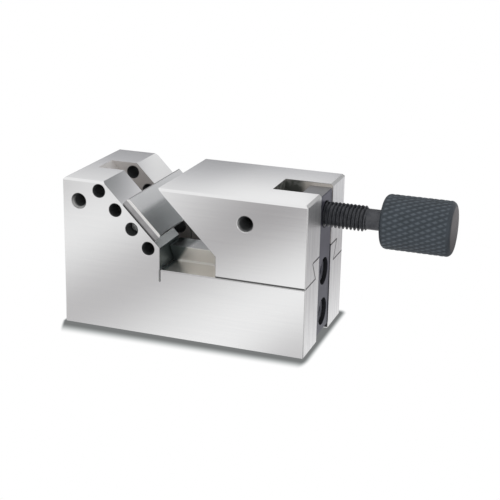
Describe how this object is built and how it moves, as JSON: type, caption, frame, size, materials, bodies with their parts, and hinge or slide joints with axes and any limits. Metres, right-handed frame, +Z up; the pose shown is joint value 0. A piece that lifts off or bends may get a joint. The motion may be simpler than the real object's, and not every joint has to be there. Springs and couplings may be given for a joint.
{
  "type": "tool vise",
  "caption": "Small ground-steel tool vise with two parallel 45 degree jaw faces, a pinned support plate, a dovetail slide and a knurled clamping screw.",
  "frame": {"origin": "centre of the base's bottom face", "axes": "+X along the clamping screw, towards the knob; +Z up; the front side, with the visible tapped hole, is -Y"},
  "size_m": [0.1492, 0.05, 0.0607],
  "materials": {
    "ground_steel": "fine ground tool steel, near mirror with a faint grain",
    "dowel_steel": "ground dowel pin",
    "blued_steel": "dark blue-grey oxide on a milled face",
    "black_oxide": "black oxide, satin",
    "knob_oxide": "black oxide over a diamond knurl, slightly blue"
  },
  "bodies": {
    "base": {"base": "ground_steel", "screw_bracket": "blued_steel", "bracket_screw_lower": "black_oxide", "bracket_screw_upper": "black_oxide", "support_plate": "ground_steel"},
    "jaw": {"moving_jaw": "ground_steel", "keeper_screw_front": "black_oxide", "keeper_screw_rear": "black_oxide"},
    "screw": {"clamp_screw": "black_oxide", "knob": "knob_oxide"},
    "pin": {"locating_pin": "dowel_steel"}
  },
  "joints": [
    {"name": "jaw_slide", "type": "slide", "parent": "base", "child": "jaw", "axis": [1, 0, 0], "range_m": [-0.0172, 0.0103]},
    {"name": "screw_turn", "type": "hinge", "parent": "jaw", "child": "screw", "pos_m": [0.0306, 0, 0.0502], "axis": [1, 0, 0], "range_deg": [-4128.1, 2472.1]},
    {"name": "pin_pull", "type": "slide", "parent": "base", "child": "pin", "axis": [0, -1, 0], "range_m": [0, 0.045]}
  ],
  "couplings": [
    {"joint": "screw_turn", "follows": "jaw_slide", "rad_per_m": 4188.8}
  ]
}
